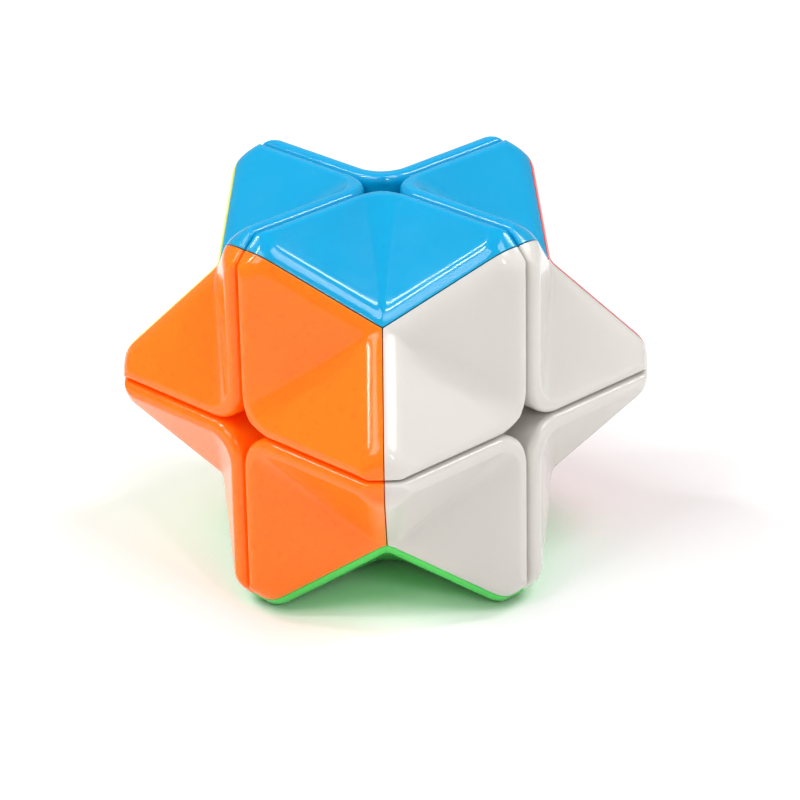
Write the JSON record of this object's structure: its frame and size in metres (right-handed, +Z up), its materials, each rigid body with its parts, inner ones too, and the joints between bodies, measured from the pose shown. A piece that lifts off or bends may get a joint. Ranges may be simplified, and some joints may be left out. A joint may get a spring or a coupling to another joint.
{
  "type": "star-shaped corner-turning layer puzzle",
  "caption": "Palm-sized twelve-pointed star puzzle, cut by three mid planes into layer-turning corner pieces with glossy coloured shells over a hidden spring-loaded mechanism.",
  "frame": {"origin": "centre of the puzzle, where the three cut planes cross", "axes": "+Z up, out of the blue face; -Y out of the orange face (front); +X out of the white face (right). Millimetre source, stored in metres."},
  "size_m": [0.06, 0.06, 0.06],
  "materials": {
    "blue_shell": "glossy moulded ABS, bright blue",
    "green_shell": "glossy moulded ABS, bright green",
    "orange_shell": "glossy moulded ABS, bright orange",
    "red_shell": "glossy moulded ABS, red",
    "white_shell": "glossy moulded ABS, warm white",
    "yellow_shell": "glossy moulded ABS, lemon yellow",
    "feet": "moulded ivory ABS",
    "edges": "moulded ivory ABS",
    "caps": "moulded ivory ABS",
    "core": "moulded grey nylon",
    "tension_screws": "zinc-plated steel",
    "tension_springs": "drawn spring steel",
    "screw_washers": "stamped steel"
  },
  "bodies": {
    "core": {"core_spider": "core", "tension_screws": "tension_screws", "tension_springs": "tension_springs", "screw_washers": "screw_washers"},
    "top_cap": {"top_cap": "caps"},
    "bottom_cap": {"bottom_cap": "caps"},
    "right_cap": {"right_cap": "caps"},
    "left_cap": {"left_cap": "caps"},
    "front_cap": {"front_cap": "caps"},
    "back_cap": {"back_cap": "caps"},
    "top_front_edge": {"top_front_edge": "edges"},
    "top_back_edge": {"top_back_edge": "edges"},
    "bottom_front_edge": {"bottom_front_edge": "edges"},
    "bottom_back_edge": {"bottom_back_edge": "edges"},
    "top_right_edge": {"top_right_edge": "edges"},
    "top_left_edge": {"top_left_edge": "edges"},
    "bottom_right_edge": {"bottom_right_edge": "edges"},
    "bottom_left_edge": {"bottom_left_edge": "edges"},
    "front_right_edge": {"front_right_edge": "edges"},
    "front_left_edge": {"front_left_edge": "edges"},
    "back_right_edge": {"back_right_edge": "edges"},
    "back_left_edge": {"back_left_edge": "edges"},
    "top_front_right_corner": {"top_front_right_foot": "feet", "top_front_right_blue_shell": "blue_shell", "top_front_right_orange_shell": "orange_shell", "top_front_right_white_shell": "white_shell"},
    "top_front_left_corner": {"top_front_left_foot": "feet", "top_front_left_blue_shell": "blue_shell", "top_front_left_orange_shell": "orange_shell", "top_front_left_yellow_shell": "yellow_shell"},
    "top_back_right_corner": {"top_back_right_foot": "feet", "top_back_right_blue_shell": "blue_shell", "top_back_right_red_shell": "red_shell", "top_back_right_white_shell": "white_shell"},
    "top_back_left_corner": {"top_back_left_foot": "feet", "top_back_left_blue_shell": "blue_shell", "top_back_left_red_shell": "red_shell", "top_back_left_yellow_shell": "yellow_shell"},
    "bottom_front_right_corner": {"bottom_front_right_foot": "feet", "bottom_front_right_green_shell": "green_shell", "bottom_front_right_orange_shell": "orange_shell", "bottom_front_right_white_shell": "white_shell"},
    "bottom_front_left_corner": {"bottom_front_left_foot": "feet", "bottom_front_left_green_shell": "green_shell", "bottom_front_left_orange_shell": "orange_shell", "bottom_front_left_yellow_shell": "yellow_shell"},
    "bottom_back_right_corner": {"bottom_back_right_foot": "feet", "bottom_back_right_green_shell": "green_shell", "bottom_back_right_red_shell": "red_shell", "bottom_back_right_white_shell": "white_shell"},
    "bottom_back_left_corner": {"bottom_back_left_foot": "feet", "bottom_back_left_green_shell": "green_shell", "bottom_back_left_red_shell": "red_shell", "bottom_back_left_yellow_shell": "yellow_shell"}
  },
  "joints": [
    {"name": "top_layer_turn", "type": "hinge", "parent": "core", "child": "top_cap", "pos_m": [0, 0, 0], "axis": [0, 0, 1], "continuous": true},
    {"name": "bottom_layer_turn", "type": "hinge", "parent": "core", "child": "bottom_cap", "pos_m": [0, 0, 0], "axis": [0, 0, 1], "continuous": true},
    {"name": "right_layer_turn", "type": "hinge", "parent": "top_cap", "child": "top_right_edge", "pos_m": [0, 0, 0], "axis": [1, 0, 0], "continuous": true},
    {"name": "left_layer_turn", "type": "hinge", "parent": "top_cap", "child": "top_left_edge", "pos_m": [0, 0, 0], "axis": [1, 0, 0], "continuous": true},
    {"name": "front_layer_turn", "type": "hinge", "parent": "top_right_edge", "child": "top_front_right_corner", "pos_m": [0, 0, 0], "axis": [0, 1, 0], "continuous": true},
    {"name": "back_layer_turn", "type": "hinge", "parent": "top_right_edge", "child": "top_back_right_corner", "pos_m": [0, 0, 0], "axis": [0, 1, 0], "continuous": true},
    {"name": "right_cap_turn", "type": "hinge", "parent": "core", "child": "right_cap", "pos_m": [0, 0, 0], "axis": [1, 0, 0], "continuous": true},
    {"name": "left_cap_turn", "type": "hinge", "parent": "core", "child": "left_cap", "pos_m": [0, 0, 0], "axis": [1, 0, 0], "continuous": true},
    {"name": "front_cap_turn", "type": "hinge", "parent": "core", "child": "front_cap", "pos_m": [0, 0, 0], "axis": [0, 1, 0], "continuous": true},
    {"name": "back_cap_turn", "type": "hinge", "parent": "core", "child": "back_cap", "pos_m": [0, 0, 0], "axis": [0, 1, 0], "continuous": true},
    {"name": "top_front_edge_turn", "type": "hinge", "parent": "front_cap", "child": "top_front_edge", "pos_m": [0, 0, 0], "axis": [0, 0, 1], "continuous": true},
    {"name": "top_back_edge_turn", "type": "hinge", "parent": "back_cap", "child": "top_back_edge", "pos_m": [0, 0, 0], "axis": [0, 0, 1], "continuous": true},
    {"name": "bottom_front_edge_turn", "type": "hinge", "parent": "front_cap", "child": "bottom_front_edge", "pos_m": [0, 0, 0], "axis": [0, 0, 1], "continuous": true},
    {"name": "bottom_back_edge_turn", "type": "hinge", "parent": "back_cap", "child": "bottom_back_edge", "pos_m": [0, 0, 0], "axis": [0, 0, 1], "continuous": true},
    {"name": "bottom_right_edge_turn", "type": "hinge", "parent": "bottom_cap", "child": "bottom_right_edge", "pos_m": [0, 0, 0], "axis": [1, 0, 0], "continuous": true},
    {"name": "bottom_left_edge_turn", "type": "hinge", "parent": "bottom_cap", "child": "bottom_left_edge", "pos_m": [0, 0, 0], "axis": [1, 0, 0], "continuous": true},
    {"name": "front_right_edge_turn", "type": "hinge", "parent": "right_cap", "child": "front_right_edge", "pos_m": [0, 0, 0], "axis": [0, 1, 0], "continuous": true},
    {"name": "front_left_edge_turn", "type": "hinge", "parent": "left_cap", "child": "front_left_edge", "pos_m": [0, 0, 0], "axis": [0, 1, 0], "continuous": true},
    {"name": "back_right_edge_turn", "type": "hinge", "parent": "right_cap", "child": "back_right_edge", "pos_m": [0, 0, 0], "axis": [0, 1, 0], "continuous": true},
    {"name": "back_left_edge_turn", "type": "hinge", "parent": "left_cap", "child": "back_left_edge", "pos_m": [0, 0, 0], "axis": [0, 1, 0], "continuous": true},
    {"name": "top_front_left_corner_turn", "type": "hinge", "parent": "top_left_edge", "child": "top_front_left_corner", "pos_m": [0, 0, 0], "axis": [0, 1, 0], "continuous": true},
    {"name": "top_back_left_corner_turn", "type": "hinge", "parent": "top_left_edge", "child": "top_back_left_corner", "pos_m": [0, 0, 0], "axis": [0, 1, 0], "continuous": true},
    {"name": "bottom_front_right_corner_turn", "type": "hinge", "parent": "bottom_right_edge", "child": "bottom_front_right_corner", "pos_m": [0, 0, 0], "axis": [0, 1, 0], "continuous": true},
    {"name": "bottom_front_left_corner_turn", "type": "hinge", "parent": "bottom_left_edge", "child": "bottom_front_left_corner", "pos_m": [0, 0, 0], "axis": [0, 1, 0], "continuous": true},
    {"name": "bottom_back_right_corner_turn", "type": "hinge", "parent": "bottom_right_edge", "child": "bottom_back_right_corner", "pos_m": [0, 0, 0], "axis": [0, 1, 0], "continuous": true},
    {"name": "bottom_back_left_corner_turn", "type": "hinge", "parent": "bottom_left_edge", "child": "bottom_back_left_corner", "pos_m": [0, 0, 0], "axis": [0, 1, 0], "continuous": true}
  ],
  "couplings": [
    {"joint": "right_cap_turn", "follows": "right_layer_turn", "ratio": 1},
    {"joint": "left_cap_turn", "follows": "left_layer_turn", "ratio": 1},
    {"joint": "front_cap_turn", "follows": "front_layer_turn", "ratio": 1},
    {"joint": "back_cap_turn", "follows": "back_layer_turn", "ratio": 1},
    {"joint": "top_front_edge_turn", "follows": "top_layer_turn", "ratio": 1},
    {"joint": "top_back_edge_turn", "follows": "top_layer_turn", "ratio": 1},
    {"joint": "bottom_front_edge_turn", "follows": "bottom_layer_turn", "ratio": 1},
    {"joint": "bottom_back_edge_turn", "follows": "bottom_layer_turn", "ratio": 1},
    {"joint": "bottom_right_edge_turn", "follows": "right_layer_turn", "ratio": 1},
    {"joint": "bottom_left_edge_turn", "follows": "left_layer_turn", "ratio": 1},
    {"joint": "front_right_edge_turn", "follows": "front_layer_turn", "ratio": 1},
    {"joint": "front_left_edge_turn", "follows": "front_layer_turn", "ratio": 1},
    {"joint": "back_right_edge_turn", "follows": "back_layer_turn", "ratio": 1},
    {"joint": "back_left_edge_turn", "follows": "back_layer_turn", "ratio": 1},
    {"joint": "top_front_left_corner_turn", "follows": "front_layer_turn", "ratio": 1},
    {"joint": "top_back_left_corner_turn", "follows": "back_layer_turn", "ratio": 1},
    {"joint": "bottom_front_right_corner_turn", "follows": "front_layer_turn", "ratio": 1},
    {"joint": "bottom_front_left_corner_turn", "follows": "front_layer_turn", "ratio": 1},
    {"joint": "bottom_back_right_corner_turn", "follows": "back_layer_turn", "ratio": 1},
    {"joint": "bottom_back_left_corner_turn", "follows": "back_layer_turn", "ratio": 1}
  ]
}
